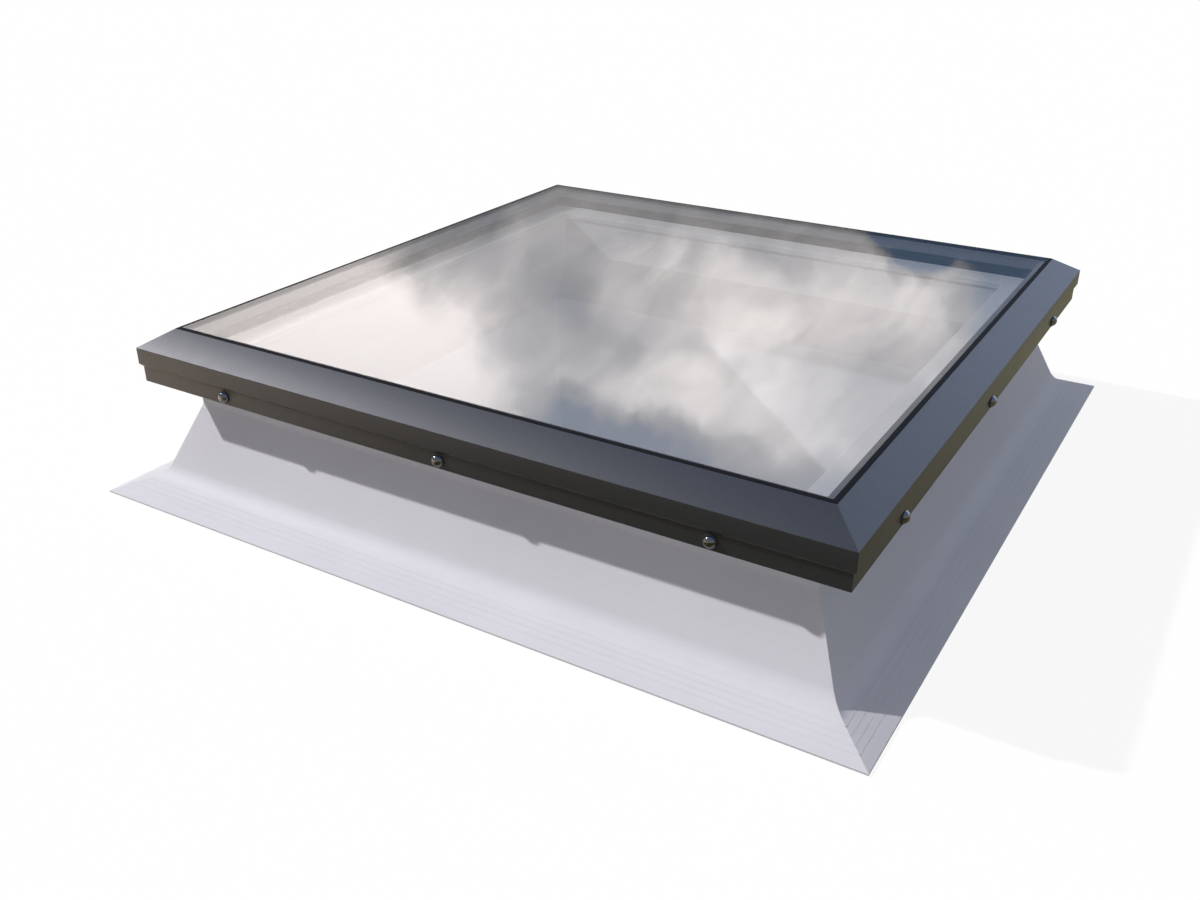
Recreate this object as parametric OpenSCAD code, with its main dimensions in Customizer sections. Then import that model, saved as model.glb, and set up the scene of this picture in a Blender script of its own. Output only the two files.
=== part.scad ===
// Fixed flat-glass roof skylight on a splayed kerb.
// Millimetres, +Z up, origin at the centre of the roof opening on the roof deck.
// Every section is drawn as [u, z]: u runs outward from the edge of the roof opening, z up from the deck.

/* [Roof opening] */
// Clear opening in the roof deck along X
opening_x = 900; // [600:50:1500]
// Clear opening in the roof deck along Y
opening_y = 900; // [600:50:1500]

/* [Kerb] */
// Height of the kerb's top above the deck
kerb_height = 176; // [160:1:260]
// Height at which the splayed wall turns into the upright neck
neck_start = 116; // [100:1:122]
// Distance from the edge of the roof opening in to the neck's outer face
neck_setback = 17; // [12:1:22]
// Thickness of the neck across both faces
neck_thickness = 40; // [34:1:46]
// Reach of the flange outward from the roof opening
flange_width = 80; // [74:1:100]
// Thickness of the flange at its outer edge
flange_edge = 2; // [1.5:0.5:3]
// Fall of the flange's upper face, in degrees
flange_angle = 18; // [14:1:20]
// Lean of the outer wall from upright, in degrees
wall_angle = 24; // [20:1:26]
// Radius of the sweep from flange to wall
knee_radius = 38; // [16:1:40]
// Radius of the turn from wall to neck
bend_radius = 12; // [6:1:16]
// Thickness of the outer skin of the kerb section
kerb_wall = 3; // [2.5:0.25:3.5]
// Thickness of the webs between its chambers
kerb_web = 2; // [1.5:0.25:3]
// Number of keying grooves along the flange
groove_count = 4; // [2:1:4]
// Distance from the flange's edge to the first groove, measured level
groove_first = 13.8; // [11:0.1:16]
// Level distance between grooves
groove_pitch = 7.7; // [7:0.1:9]
// Width of a groove at the surface
groove_width = 1.2; // [0.8:0.1:3]
// Depth of a groove
groove_depth = 0.6; // [0.4:0.1:1.5]

/* [Glazing frame] */
// Height of the seal between kerb and glazing frame
kerb_seal_height = 4; // [3:0.5:6]
// Distance from the neck's faces in to the edges of that seal
kerb_seal_inset = 2; // [1:0.5:10]
// Height of the ledge that carries the glass
ledge_height = 9.8; // [9:0.1:14]
// How far the ledge stands past the neck's inner face
ledge_lip = 2; // [1:0.5:6]
// Rounding of the ledge's inner edges
lip_round = 1.5; // [0.5:0.1:2]
// Gap between the frame's outer box and the neck
frame_gap = 2; // [1:0.5:4]
// Thickness of the outer skin of the frame section
frame_wall = 2.5; // [2:0.25:3]
// Thickness of the webs between its chambers
frame_web = 1.5; // [1:0.25:2.5]

/* [Cap] */
// Distance from the neck's outer face out to the lower band
skirt_reach = 46.3; // [44:0.1:52]
// How far the lower band hangs below the kerb's top
skirt_overlap = 21.5; // [18:0.5:28]
// Height of the lower band
skirt_height = 20.5; // [18:0.5:24]
// How far the fascia stands out past the lower band
fascia_step = 3.7; // [2:0.1:5]
// Height of the bevel between the two
step_height = 4.2; // [3:0.1:6]
// Level width of the sloping top
cap_width = 36.8; // [34:0.1:40]
// Rise of the sloping top
cap_rise = 22.1; // [18:0.1:24]
// Thickness of the cap's metal
cap_wall = 2; // [1.5:0.1:2.4]
// Rounding of the cap's outer edges
edge_round = 0.7; // [0.3:0.1:0.7]
// Width of the drip lip turned in under the lower band
drip_lip = 6; // [4:0.5:9]
// Depth of the channel for the corner cleats
cleat_depth = 3.7; // [3:0.1:4.5]
// Length of each arm of a corner cleat
cleat_arm = 45; // [30:1:60]
// Clearance beside and above a cleat in its channel
cleat_clearance = 0.15; // [0.1:0.05:0.3]

/* [Glass] */
// Thickness of the outer pane
outer_pane_t = 4; // [4:1:6]
// Gap between the panes
cavity = 14; // [12:1:18]
// Thickness of the inner laminated pane
inner_pane_t = 6.4; // [4.4:1:8.4]
// Chamfer ground along the edges of both panes
arris = 0.8; // [0.4:0.1:1.2]
// Height of the bed gasket under the glass
bed_height = 9.2; // [7:0.1:11]
// Width of the bed gasket
bed_width = 8; // [7:0.5:9]
// Bore that lets the bed gasket give
bed_bore = 3.4; // [2:0.1:4]
// Gap between glass and cap, filled by the rim gasket
rim_gap = 5; // [4:0.5:7]
// Depth of the rim gasket's foot under the glass's face
rim_depth = 12; // [9:0.5:13]
// How far the rim gasket's top lies under that face
rim_drop = 0.8; // [0.3:0.1:1.5]
// Rounding of the rim gasket's top
rim_round = 1.4; // [0.6:0.1:1.8]
// Width of the edge seal outside the spacer
edge_seal_w = 3.5; // [3:0.5:5]
// Width of the spacer
spacer_w = 6; // [5:0.5:8]
// Length of an edge packer
packer_length = 50; // [30:5:80]
// Height of an edge packer
packer_height = 16; // [10:0.5:18]

/* [Fixings] */
// Screws along each side
screws_per_side = 3; // [2:1:5]
// Distance from the lower band's corner to the first screw
screw_inset = 145; // [100:5:180]
// Shank diameter
screw_d = 5.5; // [4.5:0.1:6.5]
// Head diameter
head_d = 15; // [12:0.5:16]
// Head height
head_h = 5.5; // [4:0.5:6.5]
// Washer diameter
washer_d = 16.5; // [16:0.5:18]
// Washer thickness
washer_t = 1.5; // [1:0.1:2]
// Clearance between shank and the holes in cap and frame, across
hole_clearance = 0.5; // [0.2:0.1:1]

/* [Hidden] */
$fn = 64;
FRONT = 0;
RIGHT = 1;
BACK = 2;
LEFT = 3;
SIDES = [FRONT, RIGHT, BACK, LEFT];
over = 1; // how far a cut runs past the surface it opens
bite = 0.002; // how much deeper a hollow round cuts than its two lines, so that it leaves no sliver
spare = 20; // how far the mitre wedge runs past the sections that it cuts
lip_gap = 1; // between the drip lip and the frame's box
box_rise = 2.8; // from the fascia's foot up to the top of the frame's box
shelf_step = 9.8; // from the cap's inner face out to the side of the frame's ledge
channel_gap = 2; // between the frame's box and the cleat channel
channel_drop = 2.8; // from the fascia's top down to the cleat channel
bevel_back = 0.8; // rise of the bevel's inner face over its outer one
screw_bite = 9; // length of a screw past the kerb's skin
rib = 1.5; // thickness of the channel's ribs
hook = 2.5; // height of the hooks on them

neck_out = -neck_setback;
neck_in = neck_out - neck_thickness;
neck_mid = (neck_out + neck_in) / 2;
ledge_under = kerb_height + kerb_seal_height;
ledge_top = ledge_under + ledge_height;
ledge_in = neck_in - ledge_lip;

inner_pane_z = ledge_top + bed_height;
cavity_z = inner_pane_z + inner_pane_t;
outer_pane_z = cavity_z + cavity;
glass_top = outer_pane_z + outer_pane_t;

skirt_u = neck_out + skirt_reach;
fascia_u = skirt_u + fascia_step;
skirt_z = kerb_height - skirt_overlap;
skirt_top = skirt_z + skirt_height;
fascia_z = skirt_top + step_height;
fascia_top = glass_top - cap_rise;
rim_u = fascia_u - cap_width;
glass_u = rim_u - rim_gap;
sight_u = glass_u - edge_seal_w - spacer_w;
cap_pitch = atan2(cap_rise, cap_width);
cap_under = cap_wall / cos(cap_pitch); // upright thickness of the sloping top

box_out = skirt_u - cap_wall;
box_in = neck_out + frame_gap;
box_z = skirt_z + cap_wall + lip_gap;
box_top = fascia_z + box_rise;
shelf_u = rim_u + shelf_step;

cleat_out = fascia_u - cap_wall;
cleat_in = cleat_out - cleat_depth;
cleat_z = box_top + channel_gap;
cleat_top = fascia_top - channel_drop;

screw_z = skirt_z + skirt_height / 2;
screw_tip = neck_out - kerb_wall - screw_bite;

// Length of a side's roof opening, and distance from the centre to its edge
function run(side) = side % 2 == 0 ? opening_x : opening_y;
function away(side) = (side % 2 == 0 ? opening_y : opening_x) / 2;

function unit(v) = v / norm(v);

// Where two lines meet, each given by a point and a heading in degrees
function meet(p, a, q, b) =
    let (d = [cos(a), sin(a)], e = [cos(b), sin(b)])
    p + d * cross(q - p, e) / cross(d, e);

// Half the angle between the two edges at corner p
function half_angle(a, p, b) = acos(unit(a - p) * unit(b - p)) / 2;

// Centre of the rounding of radius r at corner p
function round_centre(a, p, b, r) =
    p + unit(unit(a - p) + unit(b - p)) * r / sin(half_angle(a, p, b));

// Point on the edge from p towards a where that rounding starts
function round_start(a, p, b, r) = p + unit(a - p) * r / tan(half_angle(a, p, b));

// Round that fills corner p of an outline, which itself runs straight between the two ends of the round
module corner_round(a, p, b, r) {
    translate(round_centre(a, p, b, r)) circle(r = r);
}

// Turns a section into a length along one side, cut to the mitre at both ends
module length_of(side) {
    reach = flange_width + spare;
    deep = spare - ledge_in;
    half = run(side) / 2;
    rotate([0, 0, 90 * side]) translate([0, -away(side), 0])
        intersection() {
            rotate([90, 0, -90]) linear_extrude(height = 2 * (half + reach), center = true) children();
            translate([0, 0, -spare]) linear_extrude(height = glass_top + 2 * spare)
                polygon([
                    [-half + deep, deep], [-half - reach, -reach],
                    [half + reach, -reach], [half - deep, deep]
                ]);
        }
}

// Puts a part at each screw of one side, with its own Z pointing outward and 0 on the opening's edge
module at_screws(side) {
    half = run(side) / 2 + skirt_u - screw_inset;
    rotate([0, 0, 90 * side]) translate([0, -away(side), screw_z])
        for (i = [0 : screws_per_side - 1])
            translate([-half + 2 * half * i / (screws_per_side - 1), 0, 0])
                rotate([90, 0, 0]) children();
}

// A box section between two corners
module bar(from, to) {
    translate(from) square(to - from);
}

// A square ring in plan, between two distances from the opening's edge
module ring(inner, outer, z, height) {
    translate([0, 0, z]) linear_extrude(height = height)
        difference() {
            square([opening_x + 2 * outer, opening_y + 2 * outer], center = true);
            square([opening_x + 2 * inner, opening_y + 2 * inner], center = true);
        }
}

// Kerb section: skin lines are headed the way the outline runs, with the material on the left
splay_angle = atan2(-neck_in, neck_start);
tip = [flange_width, flange_edge];
bend = [neck_out, neck_start];
knee = meet(tip, 180 - flange_angle, bend, 90 + wall_angle);
flange_skin = tip - kerb_wall * [sin(flange_angle), cos(flange_angle)];
wall_skin = bend - kerb_wall * [cos(wall_angle), sin(wall_angle)];
splay_skin = kerb_wall * [cos(splay_angle), sin(splay_angle)];

// Inside of the outer wall and of the splayed inner wall at height z
function inside_wall(z) = [wall_skin[0] + (wall_skin[1] - z) * tan(wall_angle), z];
function inside_splay(z) = [splay_skin[0] + (splay_skin[1] - z) * tan(splay_angle), z];

module kerb_chamber(low, high) {
    polygon([inside_splay(low), inside_wall(low), inside_wall(high), inside_splay(high)]);
}

module kerb_section() {
    knee_a = round_start(tip, knee, bend, knee_radius);
    knee_b = round_start(bend, knee, tip, knee_radius);
    top = [neck_out, kerb_height];
    bend_a = round_start(knee, bend, top, bend_radius);
    bend_b = round_start(top, bend, knee, bend_radius);
    third = neck_start / 3;
    half_web = kerb_web / 2;
    web_u = inside_wall(kerb_wall) + [kerb_web / cos(wall_angle), 0];
    difference() {
        polygon([
            [0, 0], [flange_width, 0], tip, knee_a, knee_b, bend_a, bend_b,
            top, [neck_in, kerb_height], [neck_in, neck_start]
        ]);
        translate(round_centre(tip, knee, bend, knee_radius)) circle(r = knee_radius + bite);
        translate(round_centre(knee, bend, top, bend_radius)) circle(r = bend_radius + bite);

        // chambers: the neck's two, the wall's three, the flange's one
        bar([neck_in + kerb_wall, neck_start + half_web], [neck_mid - half_web, kerb_height - kerb_wall]);
        bar([neck_mid + half_web, neck_start + half_web], [neck_out - kerb_wall, kerb_height - kerb_wall]);
        kerb_chamber(2 * third + half_web, neck_start - half_web);
        kerb_chamber(third + half_web, 2 * third - half_web);
        kerb_chamber(kerb_wall, third - half_web);
        polygon([
            web_u,
            meet(web_u, 0, flange_skin, 180 - flange_angle),
            meet(web_u, 90 + wall_angle, flange_skin, 180 - flange_angle)
        ]);

        // grooves, as many as lie clear of the knee
        for (i = [0 : groove_count - 1]) {
            level = groove_first + i * groove_pitch;
            mouth = groove_width / 2 * (1 + over / groove_depth);
            if (tip[0] - level - groove_width / 2 > knee_a[0])
                translate(tip) rotate(180 - flange_angle) translate([level / cos(flange_angle), 0])
                    polygon([[-mouth, -over], [0, groove_depth], [mouth, -over]]);
        }
    }
}

module kerb(side) {
    color("#f1f0f4") difference() {
        length_of(side) kerb_section();
        at_screws(side) translate([0, 0, neck_out - kerb_wall - over])
            cylinder(d = screw_d, h = kerb_wall + 2 * over);
    }
}

module frame_section() {
    low = box_z + frame_wall;
    wall_u = shelf_u - frame_wall;
    ledge_mid = (ledge_in + box_in) / 2;
    ledge_floor = ledge_under + frame_wall;
    ledge_roof = ledge_top - frame_wall;
    half_web = frame_web / 2;
    root = [box_in, ledge_under];
    heel = [shelf_u, ledge_top];
    low_lip = [ledge_in, ledge_under];
    high_lip = [ledge_in, ledge_top];
    difference() {
        union() {
            polygon([
                round_start(root, low_lip, high_lip, lip_round), root, [box_in, box_z], [box_out, box_z],
                [box_out, box_top], [shelf_u, box_top], heel,
                round_start(heel, high_lip, low_lip, lip_round),
                round_start(low_lip, high_lip, heel, lip_round),
                round_start(high_lip, low_lip, root, lip_round)
            ]);
            corner_round(root, low_lip, high_lip, lip_round);
            corner_round(heel, high_lip, low_lip, lip_round);
        }
        bar([shelf_u, low], [box_out - frame_wall, box_top - frame_wall]);
        bar([box_in + frame_wall, low], [wall_u, ledge_under - half_web]);
        bar([box_in + frame_wall, ledge_under + half_web], [wall_u, ledge_roof]);
        bar([ledge_in + frame_wall, ledge_floor], [ledge_mid - half_web, ledge_roof]);
        bar([ledge_mid + half_web, ledge_floor], [box_in, ledge_roof]);
    }
}

module glazing_frame(side) {
    color("#f4f4f6") difference() {
        length_of(side) frame_section();
        at_screws(side) translate([0, 0, box_in - over])
            cylinder(d = screw_d + hole_clearance, h = box_out - box_in + 2 * over);
    }
}

module cap_section() {
    inner_u = fascia_u - cap_wall;
    fall = cap_rise / cap_width;
    lip = [skirt_u - drip_lip, skirt_z];
    foot = [skirt_u, skirt_z];
    waist = [skirt_u, skirt_top];
    hem = [fascia_u, fascia_z];
    brow = [fascia_u, fascia_top];
    crest = [rim_u, glass_top];
    leg = [rim_u, ledge_top];
    corner_round(lip, foot, waist, edge_round);
    corner_round(hem, brow, crest, edge_round);
    corner_round(brow, crest, leg, edge_round);
    polygon([
        lip, round_start(lip, foot, waist, edge_round), round_start(waist, foot, lip, edge_round),
        waist, hem, round_start(hem, brow, crest, edge_round), round_start(crest, brow, hem, edge_round),
        round_start(brow, crest, leg, edge_round), round_start(leg, crest, brow, edge_round),
        leg, [rim_u + cap_wall, ledge_top],
        [rim_u + cap_wall, glass_top - cap_wall * fall - cap_under],
        [inner_u, fascia_top + cap_wall * fall - cap_under],
        // channel for the corner cleats
        [inner_u, cleat_top], [cleat_in - rib, cleat_top], [cleat_in - rib, cleat_top - rib - hook],
        [cleat_in, cleat_top - rib - hook], [cleat_in, cleat_top - rib], [inner_u, cleat_top - rib],
        [inner_u, cleat_z + rib], [cleat_in, cleat_z + rib], [cleat_in, cleat_z + rib + hook],
        [cleat_in - rib, cleat_z + rib + hook], [cleat_in - rib, cleat_z], [inner_u, cleat_z],
        // back of the bevel, lower band and drip lip
        [inner_u, fascia_z + bevel_back], [box_out, skirt_top + bevel_back],
        [box_out, skirt_z + cap_wall], lip + [0, cap_wall]
    ]);
}

module cap(side) {
    color("#42454b") difference() {
        length_of(side) cap_section();
        at_screws(side) translate([0, 0, box_out - over])
            cylinder(d = screw_d + hole_clearance, h = cap_wall + 2 * over);
    }
}

// Corner between one side and the next one round
module corner_cleat(side) {
    wide = cleat_out - cleat_in - 2 * cleat_clearance;
    low = cleat_z + rib;
    high = cleat_top - rib - cleat_clearance;
    edge = cleat_out - cleat_clearance;
    color("#b9bcc0") rotate([0, 0, 90 * side])
        translate([run(side) / 2 + edge, -away(side) - edge, low])
            linear_extrude(height = high - low)
                polygon([
                    [0, 0], [0, cleat_arm], [-wide, cleat_arm],
                    [-wide, wide], [-cleat_arm, wide], [-cleat_arm, 0]
                ]);
}

// A pane across its thickness, with its edges ground off
module pane_section(half, thickness) {
    polygon([
        [-half + arris, 0], [half - arris, 0], [half, arris], [half, thickness - arris],
        [half - arris, thickness], [-half + arris, thickness], [-half, thickness - arris], [-half, arris]
    ]);
}

module pane(z, thickness) {
    half_x = opening_x / 2 + glass_u;
    half_y = opening_y / 2 + glass_u;
    translate([0, 0, z]) intersection() {
        rotate([90, 0, 0]) linear_extrude(height = 2 * half_y, center = true)
            pane_section(half_x, thickness);
        rotate([90, 0, 90]) linear_extrude(height = 2 * half_x, center = true)
            pane_section(half_y, thickness);
    }
}

module outer_pane() {
    color("#c9dde2", 0.35) pane(outer_pane_z, outer_pane_t);
}

module inner_pane() {
    color("#c9dde2", 0.35) pane(inner_pane_z, inner_pane_t);
}

module spacer() {
    color("#4a4c50") ring(sight_u, sight_u + spacer_w, cavity_z, cavity);
}

module edge_seal() {
    color("#1b1b1d") ring(glass_u - edge_seal_w, glass_u, cavity_z, cavity);
}

module bed_gasket(side) {
    color("#1d1d20") length_of(side) difference() {
        bar([sight_u, ledge_top], [sight_u + bed_width, inner_pane_z]);
        translate([sight_u + bed_width / 2, ledge_top + bed_height / 2]) circle(d = bed_bore);
    }
}

module rim_gasket(side) {
    low_in = [glass_u, glass_top - rim_depth];
    low_out = [rim_u, glass_top - rim_depth];
    high_in = [glass_u, glass_top - rim_drop];
    high_out = [rim_u, glass_top - rim_drop];
    color("#1d1d20") length_of(side) {
        corner_round(low_in, high_in, high_out, rim_round);
        corner_round(low_out, high_out, high_in, rim_round);
        polygon([
            low_in, low_out,
            round_start(low_out, high_out, high_in, rim_round),
            round_start(high_in, high_out, low_out, rim_round),
            round_start(high_out, high_in, low_in, rim_round),
            round_start(low_in, high_in, high_out, rim_round)
        ]);
    }
}

module kerb_seal(side) {
    color("#d6d5d8") length_of(side)
        bar([neck_in + kerb_seal_inset, kerb_height], [neck_out - kerb_seal_inset, ledge_under]);
}

// Two a side, standing on the ledge between glass and cap
module edge_packers() {
    color("#2b2b2e") for (side = SIDES, end = [-1, 1])
        rotate([0, 0, 90 * side])
            translate([end * run(side) / 4 - packer_length / 2, -away(side) - rim_u, ledge_top])
                cube([packer_length, rim_gap, packer_height]);
}

module screws() {
    seat = skirt_u + washer_t;
    dome = (head_d * head_d / 4 + head_h * head_h) / (2 * head_h);
    color("#8d9298") for (side = SIDES) at_screws(side)
        rotate_extrude() {
            intersection() {
                translate([0, seat + head_h - dome]) circle(r = dome);
                translate([0, seat]) square([head_d, head_h + over]);
            }
            translate([0, screw_tip + screw_d]) square([screw_d / 2, seat - screw_tip - screw_d]);
            polygon([[0, screw_tip], [screw_d / 2, screw_tip + screw_d], [0, screw_tip + screw_d]]);
        }
}

module washers() {
    color("#6f7378") for (side = SIDES) at_screws(side) translate([0, 0, skirt_u])
        difference() {
            cylinder(d = washer_d, h = washer_t);
            translate([0, 0, -over]) cylinder(d = screw_d, h = washer_t + 2 * over);
        }
}

kerb(FRONT);  // kerb_front
kerb(RIGHT);  // kerb_right
kerb(BACK);  // kerb_back
kerb(LEFT);  // kerb_left
glazing_frame(FRONT);  // glazing_frame_front
glazing_frame(RIGHT);  // glazing_frame_right
glazing_frame(BACK);  // glazing_frame_back
glazing_frame(LEFT);  // glazing_frame_left
cap(FRONT);  // cap_front
cap(RIGHT);  // cap_right
cap(BACK);  // cap_back
cap(LEFT);  // cap_left
corner_cleat(FRONT);  // cleat_front_right
corner_cleat(RIGHT);  // cleat_back_right
corner_cleat(BACK);  // cleat_back_left
corner_cleat(LEFT);  // cleat_front_left
outer_pane();
inner_pane();
spacer();
edge_seal();
bed_gasket(FRONT);  // bed_gasket_front
bed_gasket(RIGHT);  // bed_gasket_right
bed_gasket(BACK);  // bed_gasket_back
bed_gasket(LEFT);  // bed_gasket_left
rim_gasket(FRONT);  // rim_gasket_front
rim_gasket(RIGHT);  // rim_gasket_right
rim_gasket(BACK);  // rim_gasket_back
rim_gasket(LEFT);  // rim_gasket_left
kerb_seal(FRONT);  // kerb_seal_front
kerb_seal(RIGHT);  // kerb_seal_right
kerb_seal(BACK);  // kerb_seal_back
kerb_seal(LEFT);  // kerb_seal_left
edge_packers();
screws();
washers();
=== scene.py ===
import math

import bpy
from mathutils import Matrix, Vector


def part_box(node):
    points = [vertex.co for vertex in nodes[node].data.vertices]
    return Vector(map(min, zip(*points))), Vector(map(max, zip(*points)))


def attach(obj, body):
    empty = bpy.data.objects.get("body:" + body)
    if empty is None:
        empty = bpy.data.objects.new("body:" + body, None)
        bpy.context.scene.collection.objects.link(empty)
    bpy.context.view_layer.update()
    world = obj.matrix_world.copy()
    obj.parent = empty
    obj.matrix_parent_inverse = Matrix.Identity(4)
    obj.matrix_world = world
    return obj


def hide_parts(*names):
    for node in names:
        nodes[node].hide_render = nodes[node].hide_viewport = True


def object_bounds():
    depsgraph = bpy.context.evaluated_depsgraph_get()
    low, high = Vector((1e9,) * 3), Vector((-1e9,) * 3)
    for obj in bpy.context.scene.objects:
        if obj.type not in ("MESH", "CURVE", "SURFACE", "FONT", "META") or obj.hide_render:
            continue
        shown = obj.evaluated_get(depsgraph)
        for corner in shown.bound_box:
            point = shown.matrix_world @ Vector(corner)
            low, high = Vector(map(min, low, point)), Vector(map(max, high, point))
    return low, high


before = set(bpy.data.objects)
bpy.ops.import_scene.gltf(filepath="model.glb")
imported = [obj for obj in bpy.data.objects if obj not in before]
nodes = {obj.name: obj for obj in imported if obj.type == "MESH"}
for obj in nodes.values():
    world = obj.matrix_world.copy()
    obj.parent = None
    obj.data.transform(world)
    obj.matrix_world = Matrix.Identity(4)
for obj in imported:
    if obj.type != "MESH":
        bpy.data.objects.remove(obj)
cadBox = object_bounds()
sides = ("front", "right", "back", "left")  # each a quarter turn on from the last, seen from above
roofOpeningMm = 900  # clear opening that the lengths run round
noiseSpan = (0.3, 0.7)  # where most values of a noise texture lie
print("frame loaded:", len(nodes), "nodes")


# helpers for materials

def hexColour(text, strength=1.0):
    # sRGB hex to the linear colour that Blender's sockets take, times a strength
    parts = [int(text[i:i + 2], 16) / 255 for i in (1, 3, 5)]
    linear = [c / 12.92 if c <= 0.04045 else ((c + 0.055) / 1.055) ** 2.4 for c in parts]
    return (*(c * strength for c in linear), 1.0)


def perMetre(sizeMm):
    # texture scale that gives features of about this size
    return 1000 / sizeMm


def addNode(tree, kind, settings=None, inputs=None):
    # one node with its settings, its values and its links
    node = tree.nodes.new(kind)
    for key, value in (settings or {}).items():
        setattr(node, key, value)
    for key, value in (inputs or {}).items():
        if isinstance(value, bpy.types.NodeSocket):
            tree.links.new(value, node.inputs[key])
        else:
            node.inputs[key].default_value = value
    return node


def newMaterial(name):
    material = bpy.data.materials.new(name)
    material.use_nodes = True
    material.node_tree.nodes.clear()
    return material, material.node_tree


def finishMaterial(material, shader):
    addNode(material.node_tree, "ShaderNodeOutputMaterial", inputs={"Surface": shader})
    return material


# helpers for meshes

def outMm(y):
    # how far a point of the front side lies out from the roof opening
    return -y * 1000 - roofOpeningMm / 2


def roundedSection(corners, stepDeg):
    # closed outline in mm from (u, z, radius) corners, with an arc at every corner that has a radius
    points = []
    for i, (u, z, radius) in enumerate(corners):
        here = Vector((u, z))
        if radius == 0:
            points.append(here)
            continue
        before = (Vector(corners[i - 1][:2]) - here).normalized()
        after = (Vector(corners[(i + 1) % len(corners)][:2]) - here).normalized()
        half = before.angle(after) / 2
        centre = here + (before + after).normalized() * radius / math.sin(half)
        start = here + before * radius / math.tan(half) - centre
        end = here + after * radius / math.tan(half) - centre
        sweep = start.angle_signed(end)
        steps = max(2, math.ceil(abs(math.degrees(sweep)) / stepDeg))
        for k in range(steps + 1):
            turn = -sweep * k / steps  # angle_signed counts clockwise
            points.append(centre + Vector((
                start.x * math.cos(turn) - start.y * math.sin(turn),
                start.x * math.sin(turn) + start.y * math.cos(turn))))
    return points


def mitredLength(name, section, side, material, seamMm, sharpDeg=25):
    # a straight length of a section, cut to 45 degrees at both ends; the section's points are
    # (distance out from the roof opening, height) in mm
    half = roofOpeningMm / 2
    turn = math.radians(90 * sides.index(side))
    verts = []
    for end in (-1, 1):
        for u, z in section:
            x, y = end * (half + u), -(half + u)
            verts.append(Vector((
                x * math.cos(turn) - y * math.sin(turn),
                x * math.sin(turn) + y * math.cos(turn), z)) / 1000)
    count = len(section)
    faces = [(i, (i + 1) % count, count + (i + 1) % count, count + i) for i in range(count)]
    faces += [tuple(reversed(range(count))), tuple(range(count, 2 * count))]
    mesh = bpy.data.meshes.new(name)
    mesh.from_pydata(verts, [], faces)
    # UV in metres: along the length, then round the section
    around = [0.0]
    for a, b in zip(section, section[1:] + section[:1]):
        around.append(around[-1] + (b - a).length / 1000)
    uv = mesh.uv_layers.new(name="lengthAndGirth")
    for face in mesh.polygons:
        for loop in face.loop_indices:
            end, i = divmod(mesh.loops[loop].vertex_index, count)
            closing = face.index == count - 1 and i == 0
            girth = around[count] if closing else around[i]
            along = (half + section[i].x) / 1000 * (1 if end else -1)
            uv.data[loop].uv = (along, girth)
    mesh.materials.append(material)
    mesh.shade_smooth()
    mesh.set_sharp_from_angle(angle=math.radians(sharpDeg))
    piece = bpy.data.objects.new(name, mesh)
    bpy.context.scene.collection.objects.link(piece)
    if seamMm:
        # a hairline groove where two lengths meet
        weights = mesh.attributes.new("bevel_weight_edge", "FLOAT", "EDGE")
        for edge in mesh.edges:
            a, b = (v // count for v in edge.vertices)
            weights.data[edge.index].value = 1.0 if a == b else 0.0
        bevel = piece.modifiers.new("mitre seam", "BEVEL")
        bevel.limit_method = "WEIGHT"
        bevel.width = seamMm / 1000
        bevel.segments = 2
        bevel.use_clamp_overlap = True
    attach(piece, "root")
    return piece


def addLengths(kind, section, material, node, seamMm=0.0):
    # four lengths of one section, one for each side's solid
    for side in sides:
        piece = mitredLength(kind + "_length_" + side, section, side, material, seamMm)
        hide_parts(node + "_" + side)
    print(kind, "lengths made:", len(section), "points round the section")


# materials

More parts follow.
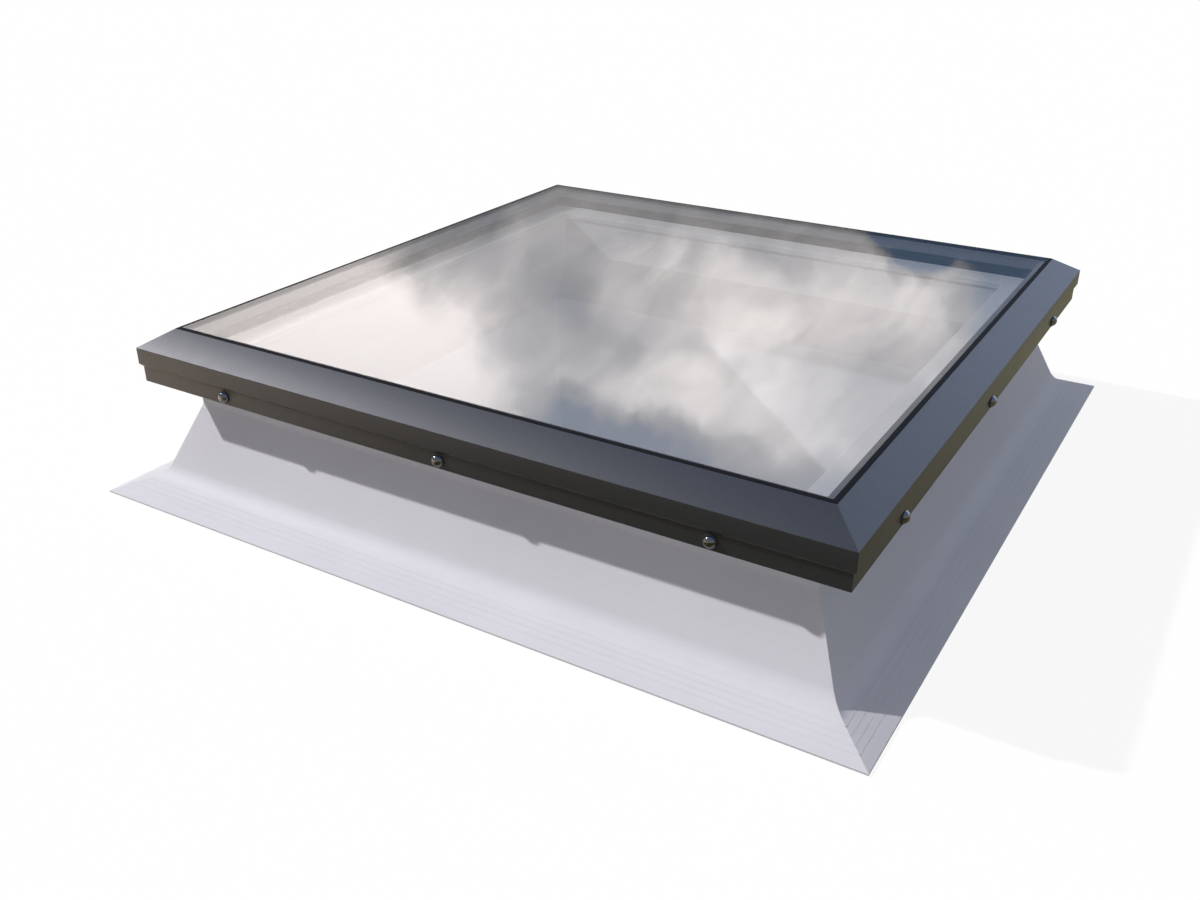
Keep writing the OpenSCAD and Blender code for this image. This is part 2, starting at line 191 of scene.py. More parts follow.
def whitePvcu():
    # Extruded rigid PVC: satin white with a breath of lilac, faint die lines along the length,
    # and a fine mottle from the cooling that breaks up the sheen
    material, tree = newMaterial("extruded white PVC-U")
    look = {"white": "#ecebed", "shadeWhite": "#dad9dc", "roughness": (0.56, 0.68), "ior": 1.54,
            "mottleMm": 2.2, "mottleDepthMm": 0.02,  # real mottle is about 1 mm, drawn coarser to show
            "mottleShare": 0.5, "dieLineMm": 1.4, "dieLineRunMm": 700, "dieLineDepthMm": 0.012, "cloudMm": 160}
    place = addNode(tree, "ShaderNodeTexCoord")
    cloud = addNode(tree, "ShaderNodeTexNoise", {"noise_dimensions": "3D"}, {
        "Vector": place.outputs["Object"], "Scale": perMetre(look["cloudMm"]), "Detail": 4.0})
    mottle = addNode(tree, "ShaderNodeTexNoise", {"noise_dimensions": "3D"}, {
        "Vector": place.outputs["Object"], "Scale": perMetre(look["mottleMm"]), "Detail": 3.0,
        "Roughness": 0.6})
    along = addNode(tree, "ShaderNodeMapping", inputs={
        "Vector": place.outputs["UV"],
        "Scale": (perMetre(look["dieLineRunMm"]), perMetre(look["dieLineMm"]), 1.0)})
    dieLines = addNode(tree, "ShaderNodeTexNoise", {"noise_dimensions": "2D"}, {
        "Vector": along.outputs["Vector"], "Scale": 1.0, "Detail": 3.0, "Roughness": 0.7})
    blend = addNode(tree, "ShaderNodeMath", {"operation": "MULTIPLY_ADD"}, {
        0: mottle.outputs["Fac"], 1: look["mottleShare"], 2: dieLines.outputs["Fac"]})
    shade = addNode(tree, "ShaderNodeMath", {"operation": "MULTIPLY"}, {
        0: cloud.outputs["Fac"], 1: blend.outputs[0]})
    tint = addNode(tree, "ShaderNodeMix", {"data_type": "RGBA"}, {
        "Factor": shade.outputs[0], "A": hexColour(look["white"]), "B": hexColour(look["shadeWhite"])})
    gloss = addNode(tree, "ShaderNodeMapRange", inputs={
        "Value": mottle.outputs["Fac"], "From Min": noiseSpan[0], "From Max": noiseSpan[1],
        "To Min": look["roughness"][0], "To Max": look["roughness"][1]})
    lines = addNode(tree, "ShaderNodeBump", inputs={
        "Height": dieLines.outputs["Fac"], "Strength": 1.0, "Distance": look["dieLineDepthMm"] / 1000})
    bump = addNode(tree, "ShaderNodeBump", inputs={
        "Height": mottle.outputs["Fac"], "Strength": 1.0, "Distance": look["mottleDepthMm"] / 1000,
        "Normal": lines.outputs["Normal"]})
    shader = addNode(tree, "ShaderNodeBsdfPrincipled", inputs={
        "Base Color": tint.outputs["Result"], "Roughness": gloss.outputs["Result"], "IOR": look["ior"],
        "Normal": bump.outputs["Normal"]})
    return finishMaterial(material, shader.outputs["BSDF"])


def powderCoat():
    # Polyester powder coat, fine texture, on extruded aluminium: even anthracite with a soft broad sheen,
    # a fine grain of stippled paint and a few paler flecks
    material, tree = newMaterial("anthracite powder coat on aluminium")
    look = {"grey": "#292b2d", "flecks": "#383a3f", "roughness": (0.465, 0.485), "ior": 1.5, "peelMm": 14,
            "stippleMm": 0.9, "stippleDepthMm": 0.03,  # real stipple is about 0.4 mm, drawn coarser to show
            "fleckSpan": (0.42, 0.70)}
    place = addNode(tree, "ShaderNodeTexCoord")
    stipple = addNode(tree, "ShaderNodeTexNoise", {"noise_dimensions": "3D"}, {
        "Vector": place.outputs["Object"], "Scale": perMetre(look["stippleMm"]), "Detail": 3.0,
        "Roughness": 0.65})
    peel = addNode(tree, "ShaderNodeTexNoise", {"noise_dimensions": "3D"}, {
        "Vector": place.outputs["Object"], "Scale": perMetre(look["peelMm"]), "Detail": 2.0})
    fleck = addNode(tree, "ShaderNodeMapRange", {"interpolation_type": "SMOOTHSTEP"}, {
        "Value": stipple.outputs["Fac"], "From Min": look["fleckSpan"][0], "From Max": look["fleckSpan"][1]})
    tint = addNode(tree, "ShaderNodeMix", {"data_type": "RGBA"}, {
        "Factor": fleck.outputs["Result"], "A": hexColour(look["grey"]), "B": hexColour(look["flecks"])})
    gloss = addNode(tree, "ShaderNodeMapRange", inputs={
        "Value": peel.outputs["Fac"], "From Min": noiseSpan[0], "From Max": noiseSpan[1],
        "To Min": look["roughness"][0], "To Max": look["roughness"][1]})
    bump = addNode(tree, "ShaderNodeBump", inputs={
        "Height": stipple.outputs["Fac"], "Strength": 1.0, "Distance": look["stippleDepthMm"] / 1000})
    shader = addNode(tree, "ShaderNodeBsdfPrincipled", inputs={
        "Base Color": tint.outputs["Result"], "Roughness": gloss.outputs["Result"], "IOR": look["ior"],
        "Normal": bump.outputs["Normal"]})
    return finishMaterial(material, shader.outputs["BSDF"])


def epdmRubber():
    # Extruded EPDM: matt black with a trace of dust and a fine grain
    material, tree = newMaterial("extruded black EPDM")
    look = {"black": "#0d0e10", "dust": "#17181a", "roughness": 0.8, "ior": 1.52, "sheen": 0.15,
            "dustMm": 14, "dustSpan": (0.45, 0.75), "grainMm": 0.8, "grainDepthMm": 0.02}
    place = addNode(tree, "ShaderNodeTexCoord")
    dust = addNode(tree, "ShaderNodeTexNoise", {"noise_dimensions": "3D"}, {
        "Vector": place.outputs["Object"], "Scale": perMetre(look["dustMm"]), "Detail": 6.0,
        "Roughness": 0.7})
    grain = addNode(tree, "ShaderNodeTexNoise", {"noise_dimensions": "3D"}, {
        "Vector": place.outputs["Object"], "Scale": perMetre(look["grainMm"]), "Detail": 2.0})
    settled = addNode(tree, "ShaderNodeMapRange", inputs={
        "Value": dust.outputs["Fac"], "From Min": look["dustSpan"][0], "From Max": look["dustSpan"][1]})
    tint = addNode(tree, "ShaderNodeMix", {"data_type": "RGBA"}, {
        "Factor": settled.outputs["Result"], "A": hexColour(look["black"]), "B": hexColour(look["dust"])})
    bump = addNode(tree, "ShaderNodeBump", inputs={
        "Height": grain.outputs["Fac"], "Strength": 1.0, "Distance": look["grainDepthMm"] / 1000})
    shader = addNode(tree, "ShaderNodeBsdfPrincipled", inputs={
        "Base Color": tint.outputs["Result"], "Roughness": look["roughness"], "IOR": look["ior"],
        "Specular IOR Level": look["sheen"], "Normal": bump.outputs["Normal"]})
    return finishMaterial(material, shader.outputs["BSDF"])


def floatGlass(name, tintHex):
    # Float glass: clear and mirror-smooth, nearly without tint, too thin to shift what lies behind it,
    # with the slow roller wave that toughening leaves, which bends the mirrored sky a little
    material, tree = newMaterial(name)
    look = {"ior": 1.52, "roughness": 0.0, "waveMm": 280, "waveDepthMm": 0.10, "glancingPower": 5.0}
    headOn = ((look["ior"] - 1) / (look["ior"] + 1)) ** 2  # share that one face mirrors when met head on
    place = addNode(tree, "ShaderNodeTexCoord")
    wave = addNode(tree, "ShaderNodeTexNoise", {"noise_dimensions": "3D"}, {
        "Vector": place.outputs["Object"], "Scale": perMetre(look["waveMm"]), "Detail": 0.0})
    bump = addNode(tree, "ShaderNodeBump", inputs={
        "Height": wave.outputs["Fac"], "Strength": 1.0, "Distance": look["waveDepthMm"] / 1000})
    glancing = addNode(tree, "ShaderNodeLayerWeight", inputs={
        "Blend": 0.5, "Normal": bump.outputs["Normal"]})  # at this blend Facing is one less the cosine
    steep = addNode(tree, "ShaderNodeMath", {"operation": "POWER"}, {
        0: glancing.outputs["Facing"], 1: look["glancingPower"]})
    mirrored = addNode(tree, "ShaderNodeMath", {"operation": "MULTIPLY_ADD"}, {
        0: steep.outputs[0], 1: 1 - headOn, 2: headOn})
    clear = addNode(tree, "ShaderNodeBsdfTransparent", inputs={"Color": hexColour(tintHex)})
    mirror = addNode(tree, "ShaderNodeBsdfAnisotropic", inputs={
        "Roughness": look["roughness"], "Normal": bump.outputs["Normal"]})
    mix = addNode(tree, "ShaderNodeMixShader", inputs={
        0: mirrored.outputs[0], 1: clear.outputs["BSDF"], 2: mirror.outputs["BSDF"]})
    return finishMaterial(material, mix.outputs["Shader"])


def speckledMaterial(name, look):
    # two tones mixed by a fine speckle, with its bump: for the small parts
    material, tree = newMaterial(name)
    place = addNode(tree, "ShaderNodeTexCoord")
    speckle = addNode(tree, "ShaderNodeTexNoise", {"noise_dimensions": "3D"}, {
        "Vector": place.outputs["Object"], "Scale": perMetre(look["speckleMm"]), "Detail": 4.0})
    tint = addNode(tree, "ShaderNodeMix", {"data_type": "RGBA"}, {
        "Factor": speckle.outputs["Fac"], "A": hexColour(look["tones"][0]), "B": hexColour(look["tones"][1])})
    gloss = addNode(tree, "ShaderNodeMapRange", inputs={
        "Value": speckle.outputs["Fac"], "From Min": noiseSpan[0], "From Max": noiseSpan[1],
        "To Min": look["roughness"][0], "To Max": look["roughness"][1]})
    bump = addNode(tree, "ShaderNodeBump", inputs={
        "Height": speckle.outputs["Fac"], "Strength": 1.0, "Distance": look["depthMm"] / 1000})
    shader = addNode(tree, "ShaderNodeBsdfPrincipled", inputs={
        "Base Color": tint.outputs["Result"], "Roughness": gloss.outputs["Result"],
        "IOR": look.get("ior", 1.5), "Metallic": look.get("metallic", 0.0), "Normal": bump.outputs["Normal"]})
    return finishMaterial(material, shader.outputs["BSDF"])


pvcu = whitePvcu()
coat = powderCoat()
rubber = epdmRubber()
outerGlass = floatGlass("toughened float glass", "#fefefe")
innerGlass = floatGlass("laminated float glass", "#fdfefe")
# Polysulphide, trowelled and cured: dull black, faintly uneven
polysulphide = speckledMaterial("poured black polysulphide", {
    "tones": ("#121214", "#1e1e20"), "roughness": (0.45, 0.6), "ior": 1.6, "speckleMm": 6,
    "depthMm": 0.06})
# Polypropylene bar with steel foil, roll-formed: dull mid grey
spacerBar = speckledMaterial("roll-formed grey spacer bar", {
    "tones": ("#5c5f63", "#6b6e72"), "roughness": (0.4, 0.5), "ior": 1.49, "speckleMm": 2.5,
    "depthMm": 0.03})
# Aluminium as extruded: pale metal, a little dull
millAluminium = speckledMaterial("mill-finish aluminium", {
    "tones": ("#b4b7bb", "#c3c6c9"), "roughness": (0.32, 0.45), "metallic": 1.0, "speckleMm": 3,
    "depthMm": 0.01})
# Nylon, moulded: black with a fine spark-eroded texture
nylon = speckledMaterial("moulded black nylon", {
    "tones": ("#1b1c1d", "#262729"), "roughness": (0.42, 0.55), "ior": 1.53, "speckleMm": 0.8,
    "depthMm": 0.03})
# Stainless steel, turned, polished and blackened: dark mirror with faint marks
darkSteel = speckledMaterial("polished blackened stainless steel", {
    "tones": ("#5e6064", "#6c6e72"), "roughness": (0.10, 0.16), "metallic": 1.0, "speckleMm": 1.5,
    "depthMm": 0.002})
# EPDM, foamed and slit from sheet: pale and quite matt, with fine open cells
foam = speckledMaterial("slit pale EPDM foam", {
    "tones": ("#cfced1", "#dddce0"), "roughness": (0.8, 0.9), "ior": 1.52, "speckleMm": 1.2,
    "depthMm": 0.1})
# EPDM, punched from sheet: dull dark grey
washerRubber = speckledMaterial("punched grey EPDM", {
    "tones": ("#3a3c3f", "#46484b"), "roughness": (0.5, 0.65), "ior": 1.52, "speckleMm": 0.9,
    "depthMm": 0.03})
print("materials made")


# kerb: splayed white extrusion, welded at the corners

kerb = {"flangeEdgeMm": 2, "flangeFallDeg": 18, "wallLeanDeg": 24, "neckSetbackMm": 17, "neckStartMm": 116,
        "kneeRadiusMm": 38, "bendRadiusMm": 12, "innerBendRadiusMm": 1.0, "edgeRadiusMm": 0.6, "seamMm": 0.35,
        "grooves": 4, "grooveFirstMm": 13.8, "groovePitchMm": 7.7,
        "grooveMouthMm": 0.8, "grooveFloorMm": 0.64, "grooveDepthMm": 0.3}


def kerbSection():
    low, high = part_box("kerb_front")
    flange, neckIn, top = outMm(low.y), outMm(high.y), high.z * 1000
    neckOut, bend = -kerb["neckSetbackMm"], kerb["neckStartMm"]
    edge, edgeRadius = kerb["flangeEdgeMm"], kerb["edgeRadiusMm"]
    slant = math.radians(kerb["flangeFallDeg"])
    fall = math.tan(slant)
    lean = math.tan(math.radians(kerb["wallLeanDeg"]))
    # the flange's upper face meets the leaning wall at the knee
    kneeU = (neckOut + (bend - edge - fall * flange) * lean) / (1 - fall * lean)
    kneeZ = edge + fall * (flange - kneeU)
    corners = [(0, 0, edgeRadius), (flange, 0, 0), (flange, edge, edgeRadius)]
    upFlange = Vector((-math.cos(slant), math.sin(slant)))
    intoFlange = Vector((-upFlange.y, upFlange.x))
    mouth, bed, depth = kerb["grooveMouthMm"] / 2, kerb["grooveFloorMm"] / 2, kerb["grooveDepthMm"]
    for i in range(kerb["grooves"]):
        level = kerb["grooveFirstMm"] + i * kerb["groovePitchMm"]
        middle = Vector((flange, edge)) + upFlange * level / math.cos(slant)
        for shift, sunk in ((-mouth, 0), (-bed, depth), (bed, depth), (mouth, 0)):
            point = middle + upFlange * shift + intoFlange * sunk
            corners.append((point.x, point.y, 0))
    corners += [(kneeU, kneeZ, kerb["kneeRadiusMm"]), (neckOut, bend, kerb["bendRadiusMm"]),
                (neckOut, top, edgeRadius), (neckIn, top, edgeRadius),
                (neckIn, bend, kerb["innerBendRadiusMm"])]
    return roundedSection(corners, stepDeg=4)


addLengths("kerb", kerbSection(), pvcu, "kerb", kerb["seamMm"])


# cap: dark coated metal round the glass

cap = {"stepMm": 3.7, "stepHeightMm": 4.2, "skirtHeightMm": 20.5, "riseMm": 22.1, "metalMm": 2.0,
       "dripLipMm": 6.0, "edgeRadiusMm": 0.7, "lipRadiusMm": 0.4, "innerStepMm": 0.8, "seamMm": 0.3}


def capSection():
    low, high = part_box("cap_front")
    fascia, rim = outMm(low.y), outMm(high.y)
    bottom, top = low.z * 1000, high.z * 1000
    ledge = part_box("glazing_frame_front")[1].z * 1000
    metal, edgeRadius, lipRadius = cap["metalMm"], cap["edgeRadiusMm"], cap["lipRadiusMm"]
    skirt = fascia - cap["stepMm"]
    lip = skirt - cap["dripLipMm"]
    skirtTop = bottom + cap["skirtHeightMm"]
    fasciaLow = skirtTop + cap["stepHeightMm"]
    fasciaTop = top - cap["riseMm"]
    slope = cap["riseMm"] / (fascia - rim)
    under = metal * math.sqrt(1 + slope * slope)  # upright thickness of the sloping top
    outside = [
        (lip, bottom, lipRadius), (skirt, bottom, edgeRadius), (skirt, skirtTop, edgeRadius / 2),
        (fascia, fasciaLow, edgeRadius / 2), (fascia, fasciaTop, edgeRadius), (rim, top, edgeRadius / 2),
        (rim, ledge, 0)]
    inside = [
        (rim + metal, ledge, 0), (rim + metal, top - metal * slope - under, 0),
        (fascia - metal, fasciaTop + metal * slope - under, 0),
        (fascia - metal, fasciaLow + cap["innerStepMm"], 0),
        (skirt - metal, skirtTop + cap["innerStepMm"], 0),
        (skirt - metal, bottom + metal, 0), (lip, bottom + metal, lipRadius)]
    return roundedSection(outside + inside, stepDeg=15)


addLengths("cap", capSection(), coat, "cap", cap["seamMm"])


# foam strip between kerb and glazing frame, squeezed flush with the kerb's neck

foamStrip = {"cornerRadiusMm": 0.5}


def foamSection():
    low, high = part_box("kerb_seal_front")
    inner, outer = outMm(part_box("kerb_front")[1].y), -kerb["neckSetbackMm"]
    bottom, top = low.z * 1000, high.z * 1000
    radius = foamStrip["cornerRadiusMm"]
    corners = [(inner, bottom, radius), (outer, bottom, radius), (outer, top, radius), (inner, top, radius)]
    return roundedSection(corners, stepDeg=30)


addLengths("foam", foamSection(), foam, "kerb_seal")


# rim gasket: black strip pressed in between cap and pane, which fills the pane's ground edge

rimGasket = {"paneArrisMm": 0.8, "topFallMm": 0.4, "cornerRadiusMm": 0.3, "clearMm": 0.05, "tipMm": 0.02}


def rimGasketSection():
    low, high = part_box("rim_gasket_front")
    outer, inner, bottom = outMm(low.y), outMm(high.y), low.z * 1000
    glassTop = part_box("outer_pane")[1].z * 1000
    arris, clear = rimGasket["paneArrisMm"], rimGasket["clearMm"]
    radius = rimGasket["cornerRadiusMm"]
    tip = inner - arris + clear
    return roundedSection([
        (inner + clear, bottom, radius), (outer, bottom, radius),
        (outer, glassTop - rimGasket["topFallMm"], radius), (tip, glassTop - rimGasket["tipMm"], 0),
        (tip, glassTop - clear, 0), (inner + clear, glassTop - arris, 0)], stepDeg=30)


addLengths("rim_gasket", rimGasketSection(), rubber, "rim_gasket")


# finishes of the solids that keep their own shape

finishes = {"glazing_frame": pvcu, "bed_gasket": rubber, "edge_seal": polysulphide, "spacer": spacerBar,
            "cleat": millAluminium, "edge_packers": nylon, "screws": darkSteel, "washers": washerRubber,
            "outer_pane": outerGlass, "inner_pane": innerGlass}
for name, node in nodes.items():
    for prefix, material in finishes.items():
        if name.startswith(prefix):
            for slot in node.material_slots:
                slot.material = material
print("finishes set on the solids that stay")


# floor with a hole the size of the roof opening, and a plain well below it; gloss sees the floor as a painted
# reflection:
# ground that glows pale with painted light on the left, turns to painted shade on the right and is hazy far
# off

# pale is the painted light and dull the painted shade of the ground that gloss mirrors; haze is its far
# distance
floor = {"sizeM": 120, "underM": 0.001, "paint": "#9f9e9c", "glow": 1.39, "glowShare": 0.65,
         "pale": "#ffe9d4", "paintedLightStrength": 2.4, "paintedLightToShadeM": (-1.1, 0.05),
         "dull": "#6a6032", "olive": "#d6cea2", "paintedShadeToOliveM": (-0.8, 0.6),
         "haze": "#d9e2f2", "hazeM": (1.0, 3.5)}
well = {"depthM": 0.6, "underM": 0.0001, "paint": "#ececef", "glow": 0.06}


def clearFromBelow(tree, shader):
    # the stage doesn't hide the part from a camera under the floor
    path = addNode(tree, "ShaderNodeLightPath")
    face = addNode(tree, "ShaderNodeNewGeometry")
    below = addNode(tree, "ShaderNodeMath", {"operation": "MULTIPLY"}, {
        0: path.outputs["Is Camera Ray"], 1: face.outputs["Backfacing"]})
    clear = addNode(tree, "ShaderNodeBsdfTransparent")
    return addNode(tree, "ShaderNodeMixShader", inputs={
        0: below.outputs[0], 1: shader, 2: clear.outputs["BSDF"]}).outputs["Shader"]


def floorMaterial():
    # matt paint, lifted to white where the camera shows it, with the shadow kept
    material, tree = newMaterial("white studio floor")
    path = addNode(tree, "ShaderNodeLightPath")
    seen = addNode(tree, "ShaderNodeMath", {"operation": "MAXIMUM"}, {
        0: path.outputs["Is Camera Ray"], 1: path.outputs["Is Transmission Ray"]})
    share = addNode(tree, "ShaderNodeMath", {"operation": "MULTIPLY"}, {
        0: seen.outputs[0], 1: floor["glowShare"]})
    paint = addNode(tree, "ShaderNodeBsdfDiffuse", inputs={"Color": hexColour(floor["paint"])})
    glow = addNode(tree, "ShaderNodeEmission", inputs={"Strength": floor["glow"]})
    lit = addNode(tree, "ShaderNodeMixShader", inputs={
        0: share.outputs[0], 1: paint.outputs["BSDF"], 2: glow.outputs["Emission"]})
    place = addNode(tree, "ShaderNodeTexCoord")
    axes = addNode(tree, "ShaderNodeSeparateXYZ", inputs={0: place.outputs["Object"]})
    along = addNode(tree, "ShaderNodeMapRange", inputs={
        "Value": axes.outputs["Y"], "From Min": floor["paintedShadeToOliveM"][0],
        "From Max": floor["paintedShadeToOliveM"][1]})
    dull = addNode(tree, "ShaderNodeMix", {"data_type": "RGBA"}, {
        "Factor": along.outputs["Result"], "A": hexColour(floor["dull"]), "B": hexColour(floor["olive"])})
    across = addNode(tree, "ShaderNodeMapRange", {"interpolation_type": "SMOOTHSTEP"}, {
        "Value": axes.outputs["X"], "From Min": floor["paintedLightToShadeM"][0], "From Max": floor["paintedLightToShadeM"][1]})
    near = addNode(tree, "ShaderNodeMix", {"data_type": "RGBA"}, {
        "Factor": across.outputs["Result"], "A": hexColour(floor["pale"], floor["paintedLightStrength"]),
        "B": dull.outputs["Result"]})
    away = addNode(tree, "ShaderNodeMapRange", {"interpolation_type": "SMOOTHSTEP"}, {
        "Value": axes.outputs["Y"], "From Min": floor["hazeM"][0], "From Max": floor["hazeM"][1]})
    ground = addNode(tree, "ShaderNodeMix", {"data_type": "RGBA"}, {
        "Factor": away.outputs["Result"], "A": near.outputs["Result"], "B": hexColour(floor["haze"])})
    # painted reflection: glossy rays see this glowing ground, with painted light on the left and painted shade
    # on the right
    mirrored = addNode(tree, "ShaderNodeEmission", inputs={"Color": ground.outputs["Result"]})
    both = addNode(tree, "ShaderNodeMixShader", inputs={
        0: path.outputs["Is Glossy Ray"], 1: lit.outputs["Shader"], 2: mirrored.outputs["Emission"]})
    return finishMaterial(material, clearFromBelow(tree, both.outputs["Shader"]))


def wellMaterial():
    # pale wall paint, which the light falls on through the glass, with a faint painted glow that stands in for
    # light from the room
    material, tree = newMaterial("pale studio paint")
    paint = addNode(tree, "ShaderNodeBsdfDiffuse", inputs={"Color": hexColour(well["paint"])})
    glow = addNode(tree, "ShaderNodeEmission", inputs={"Strength": well["glow"]})
    both = addNode(tree, "ShaderNodeAddShader", inputs={
        0: paint.outputs["BSDF"], 1: glow.outputs["Emission"]})
    return finishMaterial(material, clearFromBelow(tree, both.outputs["Shader"]))


def squareAt(reach, height):
    return [(x * reach, y * reach, height) for x, y in ((-1, -1), (1, -1), (1, 1), (-1, 1))]


def addStagePiece(name, verts, faces, material):
    mesh = bpy.data.meshes.new(name)
    mesh.from_pydata(verts, [], faces)
    mesh.materials.append(material)
    piece = bpy.data.objects.new(name, mesh)
    bpy.context.scene.collection.objects.link(piece)


def addFloorAndWell():
    hole = roofOpeningMm / 2000
    ground = cadBox[0].z - floor["underM"]
    wellTop, wellBottom = cadBox[0].z - well["underM"], ground - well["depthM"]
    around = [(i, (i + 1) % 4, 4 + (i + 1) % 4, 4 + i) for i in range(4)]
    addStagePiece("floor", squareAt(floor["sizeM"] / 2, ground) + squareAt(hole, ground), around,
                  floorMaterial())
    addStagePiece("well", squareAt(hole, wellTop) + squareAt(hole, wellBottom), around + [(4, 5, 6, 7)],
                  wellMaterial())


# key light: a soft-edged sun from the left

keyLight = {"strength": 2.95, "hex": "#faf8fd", "angleDeg": 1.5, "travel": (0.754, 0.243, -0.610)}


def addKeyLight():
    sun = bpy.data.lights.new("key light", "SUN")
    sun.energy = keyLight["strength"]
    sun.color = hexColour(keyLight["hex"])[:3]
    sun.angle = math.radians(keyLight["angleDeg"])
    lamp = bpy.data.objects.new("key light", sun)
    lamp.rotation_mode = "QUATERNION"
    lamp.rotation_quaternion = Vector(keyLight["travel"]).to_track_quat("-Z", "Y")
    bpy.context.scene.collection.objects.link(lamp)


# surround: plain light, warmer from the left and cooler from the right, and white where the camera sees it

ambient = {"strength": 0.34, "left": "#e2d9d1", "right": "#d6e1f8"}

# sky that gloss and glass mirror: pale cloud with darker gaps; a place is (degrees from the back towards the
# right, degrees up), and a bank is a place, a spread in degrees and how much cloud is added there
sky = {"gap": "#627c9d", "grey": "#c9c7c8", "bright": "#fff6f1", "brightStrength": 2.4,
       "gapToGrey": (0.05, 0.55), "greyToBright": (0.40, 1.40),  # cover at which one turns to the other
       "clear": "#cbdbfc", "clearStrength": 2.5, "clearAt": (26, 18), "clearDeg": (36, 14),  # to the right
       "high": "#98bcf6", "highDeg": (33, 50),  # overhead
       "wispDeg": 4.0, "wispsPerRad": 15.0,  # how far and how finely the clouds' edges are stirred
       "billow": 0.34, "streak": 0.38,  # how much of the cover is left to chance, as puffs and as streaks
       "billowsPerRad": 9.0, "streakDeg": (5, 1.0), "streakFrom": (-33, 27), "streakTo": (-24, 19),
       "banks": (
           ((-46, 20.5), 13, 0.78), ((-45.5, 21.5), 6, 0.28), ((-39.6, 16.0), 4.5, -0.48),
           ((-38, 22), 6, 0.15), ((-36.7, 20.5), 2.6, -0.14), ((-35.3, 20), 4, -0.15),
           ((-33, 26.4), 4.0, -0.70), ((-32.5, 22.3), 2.4, 0.14), ((-29.2, 17.7), 3.0, 0.24),
           ((-29, 22), 5, 0.13), ((-28.5, 23.8), 3.3, 0.38), ((-28.5, 27.5), 3.4, -0.65),
           ((-26.8, 21.0), 2.6, 0.22), ((-26.5, 17.0), 2.4, 0.14), ((-24, 19.0), 3.2, 0.34),
           ((-24, 23.8), 2.2, 0.10), ((-24, 28), 3, -0.35), ((-22, 24), 6, 0.35),
           ((-20, 19), 3.5, 0.14), ((-19, 16.6), 2.6, -0.15), ((-19, 20), 8, 0.06),
           ((-19, 29), 4, -0.40), ((-18, 22), 4, -0.15), ((-17, 18), 5, 0.27),
           ((-15, 12.9), 4.5, -1.8), ((-15, 23.5), 3, 0.12), ((-14.5, 20.5), 4, 0.06),
           ((-13, 13.2), 4.5, -1.8), ((-11, 18), 3, -0.40), ((-9, 13.5), 4.5, -1.8),
           ((-8.5, 15), 3.5, -1.2))}


def towards(azimuthDeg, elevationDeg):
    azimuth, elevation = math.radians(azimuthDeg), math.radians(elevationDeg)
    level = math.cos(elevation)
    return (math.sin(azimuth) * level, math.cos(azimuth) * level, math.sin(elevation))


def cloudCover(tree, ray):
    # puffs and streaks left to chance, then the banks
    billow = addNode(tree, "ShaderNodeTexNoise", {"noise_dimensions": "3D"}, {
        "Vector": ray, "Scale": sky["billowsPerRad"], "Detail": 3.0, "Roughness": 0.5})
    drift = Vector(towards(*sky["streakTo"])) - Vector(towards(*sky["streakFrom"]))
    lengthRad, widthRad = (math.radians(size) for size in sky["streakDeg"])
    drawn = addNode(tree, "ShaderNodeMapping", {"vector_type": "TEXTURE"}, {
        "Vector": ray, "Rotation": drift.to_track_quat("X", "Z").to_euler(),
        "Scale": (lengthRad, widthRad, widthRad)})
    streak = addNode(tree, "ShaderNodeTexNoise", {"noise_dimensions": "3D"}, {
        "Vector": drawn.outputs["Vector"], "Scale": 1.0, "Detail": 5.0, "Roughness": 0.6})
    base = 0.5 - (sky["billow"] + sky["streak"]) / 2
    puffs = addNode(tree, "ShaderNodeMath", {"operation": "MULTIPLY_ADD"}, {
        0: billow.outputs["Fac"], 1: sky["billow"], 2: base})
    cover = addNode(tree, "ShaderNodeMath", {"operation": "MULTIPLY_ADD"}, {
        0: streak.outputs["Fac"], 1: sky["streak"], 2: puffs.outputs[0]}).outputs[0]
    for place, spreadDeg, amount in sky["banks"]:
        facing = addNode(tree, "ShaderNodeVectorMath", {"operation": "DOT_PRODUCT"}, {
            0: ray, 1: towards(*place)})
        bank = addNode(tree, "ShaderNodeMapRange", {"interpolation_type": "SMOOTHSTEP"}, {
            "Value": facing.outputs["Value"], "From Min": math.cos(math.radians(spreadDeg)), "From Max": 1.0,
            "To Min": 0.0, "To Max": amount})
        cover = addNode(tree, "ShaderNodeMath", {"operation": "ADD"}, {
            0: cover, 1: bank.outputs["Result"]}).outputs[0]
    return cover


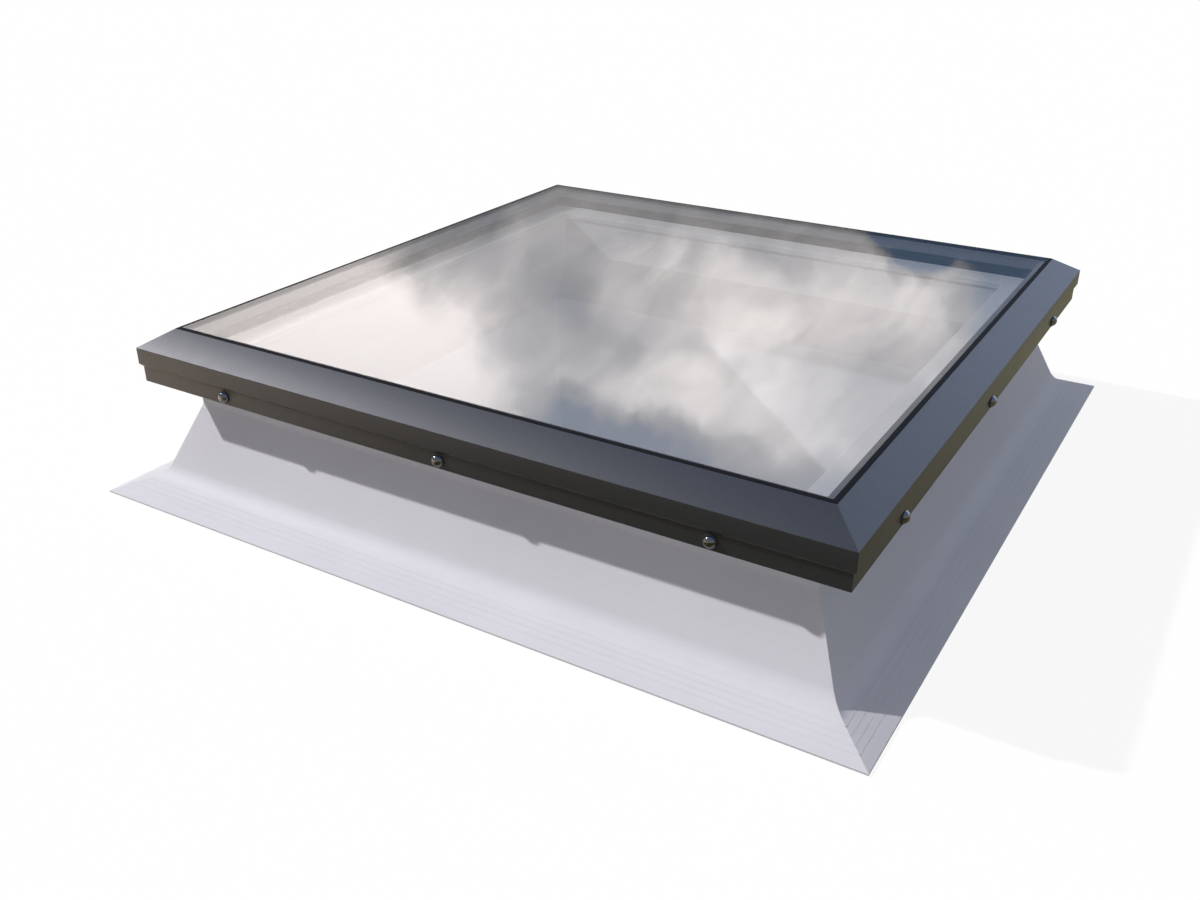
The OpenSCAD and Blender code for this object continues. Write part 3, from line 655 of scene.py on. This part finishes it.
def mirroredSky(tree, direction):
    stir = addNode(tree, "ShaderNodeTexNoise", {"noise_dimensions": "3D"}, {
        "Vector": direction, "Scale": sky["wispsPerRad"], "Detail": 4.0, "Roughness": 0.55})
    shift = addNode(tree, "ShaderNodeVectorMath", {"operation": "SUBTRACT"}, {
        0: stir.outputs["Color"], 1: (0.5, 0.5, 0.5)})
    stirred = addNode(tree, "ShaderNodeVectorMath", {"operation": "MULTIPLY_ADD"}, {
        0: shift.outputs["Vector"], 1: (math.radians(sky["wispDeg"]),) * 3, 2: direction})
    ray = addNode(tree, "ShaderNodeVectorMath", {"operation": "NORMALIZE"}, {
        0: stirred.outputs["Vector"]}).outputs["Vector"]
    cover = cloudCover(tree, ray)
    lower = addNode(tree, "ShaderNodeMapRange", {"interpolation_type": "SMOOTHSTEP"}, {
        "Value": cover, "From Min": sky["gapToGrey"][0], "From Max": sky["gapToGrey"][1]})
    upper = addNode(tree, "ShaderNodeMapRange", {"interpolation_type": "SMOOTHSTEP"}, {
        "Value": cover, "From Min": sky["greyToBright"][0], "From Max": sky["greyToBright"][1]})
    right = addNode(tree, "ShaderNodeVectorMath", {"operation": "DOT_PRODUCT"}, {
        0: ray, 1: towards(*sky["clearAt"])})
    blue = addNode(tree, "ShaderNodeMapRange", {"interpolation_type": "SMOOTHSTEP"}, {
        "Value": right.outputs["Value"], "From Min": math.cos(math.radians(sky["clearDeg"][0])),
        "From Max": math.cos(math.radians(sky["clearDeg"][1]))})
    axes = addNode(tree, "ShaderNodeSeparateXYZ", inputs={0: direction})
    up = addNode(tree, "ShaderNodeMapRange", {"interpolation_type": "SMOOTHSTEP"}, {
        "Value": axes.outputs["Z"], "From Min": math.sin(math.radians(sky["highDeg"][0])),
        "From Max": math.sin(math.radians(sky["highDeg"][1]))})
    # each layer covers the one before it
    seen = hexColour(sky["gap"])
    for share, colour in ((lower, hexColour(sky["grey"])),
                          (upper, hexColour(sky["bright"], sky["brightStrength"])),
                          (blue, hexColour(sky["clear"], sky["clearStrength"])),
                          (up, hexColour(sky["high"]))):
        seen = addNode(tree, "ShaderNodeMix", {"data_type": "RGBA"}, {
            "Factor": share.outputs["Result"], "A": seen, "B": colour}).outputs["Result"]
    return seen


def addSurround():
    world = bpy.data.worlds.new("soft surround")
    world.use_nodes = True
    bpy.context.scene.world = world
    tree = world.node_tree
    tree.nodes.clear()
    direction = addNode(tree, "ShaderNodeTexCoord").outputs["Generated"]
    axes = addNode(tree, "ShaderNodeSeparateXYZ", inputs={0: direction})
    side = addNode(tree, "ShaderNodeMapRange", inputs={
        "Value": axes.outputs["X"], "From Min": -1.0, "From Max": 1.0})
    tint = addNode(tree, "ShaderNodeMix", {"data_type": "RGBA"}, {
        "Factor": side.outputs["Result"], "A": hexColour(ambient["left"]), "B": hexColour(ambient["right"])})
    light = addNode(tree, "ShaderNodeBackground", inputs={
        "Color": tint.outputs["Result"], "Strength": ambient["strength"]})
    white = addNode(tree, "ShaderNodeBackground", inputs={"Color": (1, 1, 1, 1), "Strength": 1.0})
    mirrored = addNode(tree, "ShaderNodeBackground", inputs={
        "Color": mirroredSky(tree, direction), "Strength": 1.0})
    path = addNode(tree, "ShaderNodeLightPath")
    through = addNode(tree, "ShaderNodeMath", {"operation": "MAXIMUM"}, {
        0: path.outputs["Is Camera Ray"], 1: path.outputs["Is Transmission Ray"]})
    direct = addNode(tree, "ShaderNodeMixShader", inputs={
        0: through.outputs[0], 1: light.outputs["Background"], 2: white.outputs["Background"]})
    both = addNode(tree, "ShaderNodeMixShader", inputs={
        0: path.outputs["Is Glossy Ray"], 1: direct.outputs["Shader"], 2: mirrored.outputs["Background"]})
    addNode(tree, "ShaderNodeOutputWorld", inputs={"Surface": both.outputs["Shader"]})


# camera at the photograph's viewing angle

view = {"place": (0.751, -1.3706, 0.7487), "look": (-0.46524, 0.76565, -0.44422), "lensMm": 35.108,
        "sensorMm": 36}


def addCamera():
    data = bpy.data.cameras.new("camera")
    data.lens = view["lensMm"]
    data.sensor_width = view["sensorMm"]
    camera = bpy.data.objects.new("camera", data)
    camera.location = view["place"]
    camera.rotation_mode = "QUATERNION"
    camera.rotation_quaternion = Vector(view["look"]).to_track_quat("-Z", "Y")
    bpy.context.scene.collection.objects.link(camera)
    bpy.context.scene.camera = camera


addFloorAndWell()
addKeyLight()
addSurround()
addCamera()
bpy.context.scene.view_settings.view_transform = "Standard"
print("stage set")
